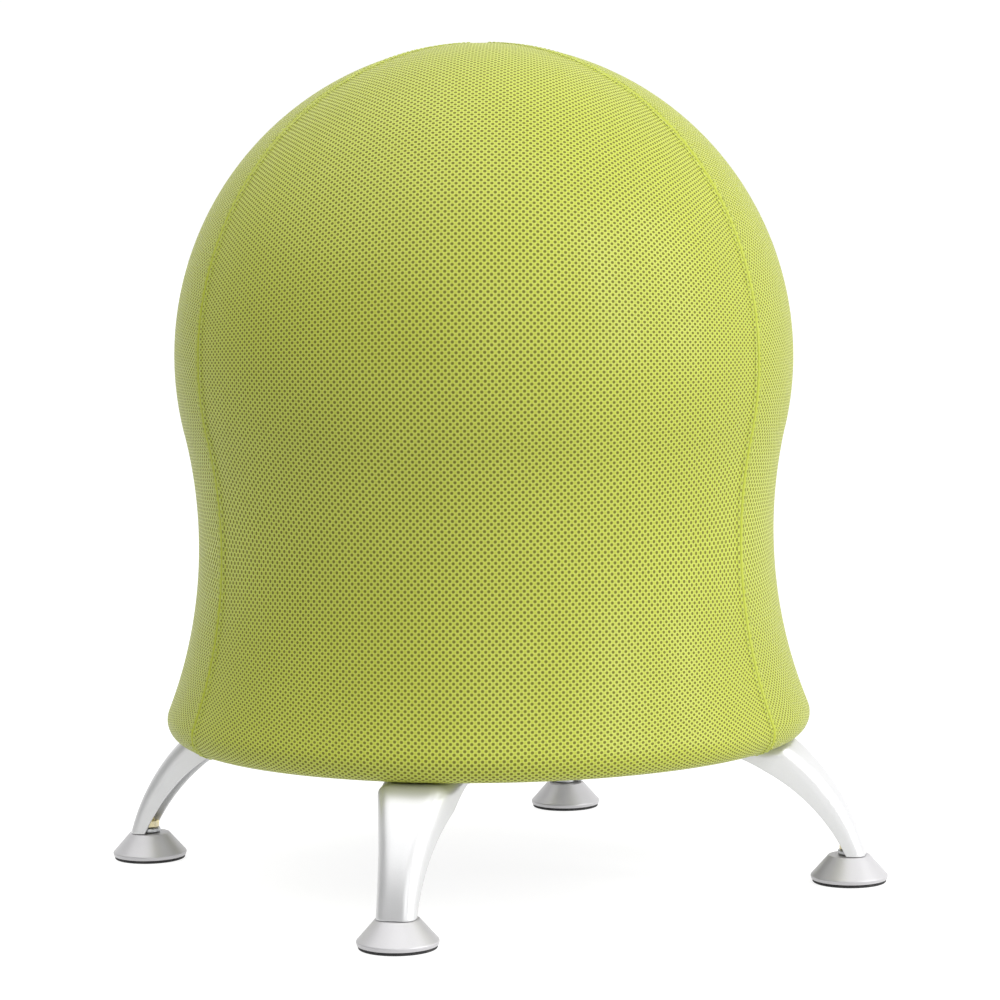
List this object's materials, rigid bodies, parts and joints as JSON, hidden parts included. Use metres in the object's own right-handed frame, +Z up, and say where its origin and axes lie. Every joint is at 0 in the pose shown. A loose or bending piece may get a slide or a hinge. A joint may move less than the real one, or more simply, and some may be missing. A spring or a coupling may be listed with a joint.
{
  "type": "exercise ball chair",
  "caption": "Inflated exercise ball used as a seat, in a fitted air-mesh cover that flares over a round base on curved sheet-steel legs with cone glides.",
  "frame": {"origin": "on the floor, under the middle of the ball", "axes": "+Z up; one leg on each of -Y (front), +X (right), +Y (back) and -X (left)"},
  "size_m": [0.5716, 0.5716, 0.5903],
  "materials": {
    "mesh_green": "knitted spacer mesh, matte with a faint sheen on the yarn",
    "band_fabric": "plain woven, matte",
    "ball_vinyl": "smooth vinyl, semi-gloss",
    "valve_plastic": "moulded, satin",
    "pan_plastic": "moulded, fine texture",
    "leg_silver": "silver powder coat, satin",
    "glide_silver": "silver-grey coat, satin",
    "pad_rubber": "matte",
    "zinc_yellow": "yellow zinc plate",
    "plain_steel": "clear zinc plate",
    "zip_nylon": "nylon coil on tape",
    "zip_metal": "nickel plate"
  },
  "bodies": {
    "base": {"ball_valve_plug": "valve_plastic", "base_pan": "pan_plastic", "ball_cradle": "pan_plastic", "cover_underside_band": "band_fabric", "support_ring": "plain_steel", "zip_chain": "zip_nylon", "leg_front": "leg_silver", "foot_plate_front": "plain_steel", "glide_cone_front": "glide_silver", "glide_pad_front": "pad_rubber", "glide_stud_front": "zinc_yellow", "glide_nut_front": "zinc_yellow", "leg_bolt_front_inner": "plain_steel", "leg_nut_front_inner": "plain_steel", "leg_bolt_front_outer": "plain_steel", "leg_nut_front_outer": "plain_steel", "leg_right": "leg_silver", "foot_plate_right": "plain_steel", "glide_cone_right": "glide_silver", "glide_pad_right": "pad_rubber", "glide_stud_right": "zinc_yellow", "glide_nut_right": "zinc_yellow", "leg_bolt_right_inner": "plain_steel", "leg_nut_right_inner": "plain_steel", "leg_bolt_right_outer": "plain_steel", "leg_nut_right_outer": "plain_steel", "leg_back": "leg_silver", "foot_plate_back": "plain_steel", "glide_cone_back": "glide_silver", "glide_pad_back": "pad_rubber", "glide_stud_back": "zinc_yellow", "glide_nut_back": "zinc_yellow", "leg_bolt_back_inner": "plain_steel", "leg_nut_back_inner": "plain_steel", "leg_bolt_back_outer": "plain_steel", "leg_nut_back_outer": "plain_steel", "leg_left": "leg_silver", "foot_plate_left": "plain_steel", "glide_cone_left": "glide_silver", "glide_pad_left": "pad_rubber", "glide_stud_left": "zinc_yellow", "glide_nut_left": "zinc_yellow", "leg_bolt_left_inner": "plain_steel", "leg_nut_left_inner": "plain_steel", "leg_bolt_left_outer": "plain_steel", "leg_nut_left_outer": "plain_steel"},
    "seat": {"ball_bladder": "ball_vinyl", "cover_gore_front": "mesh_green", "cover_gore_back_left": "mesh_green", "cover_gore_back_right": "mesh_green"},
    "slider": {"zip_slider": "zip_metal"},
    "pull": {"zip_pull": "zip_metal"}
  },
  "joints": [
    {"name": "seat_bounce", "type": "slide", "parent": "base", "child": "seat", "axis": [0, 0, 1], "range_m": [-0.05, 0], "stiffness_N_per_m": 16000, "springref_m": 0.002, "deforming": ["ball_bladder", "cover_gore_front", "cover_gore_back_left", "cover_gore_back_right"]},
    {"name": "zip_slide", "type": "hinge", "parent": "base", "child": "slider", "pos_m": [0, 0, 0.0975], "axis": [0, 0, 1], "range_deg": [0, 50]},
    {"name": "zip_pull_swing", "type": "hinge", "parent": "slider", "child": "pull", "pos_m": [-0.06186, 0.17965, 0.0939], "axis": [-0.3256, 0.9455, 0], "range_deg": [-80, 80]}
  ]
}
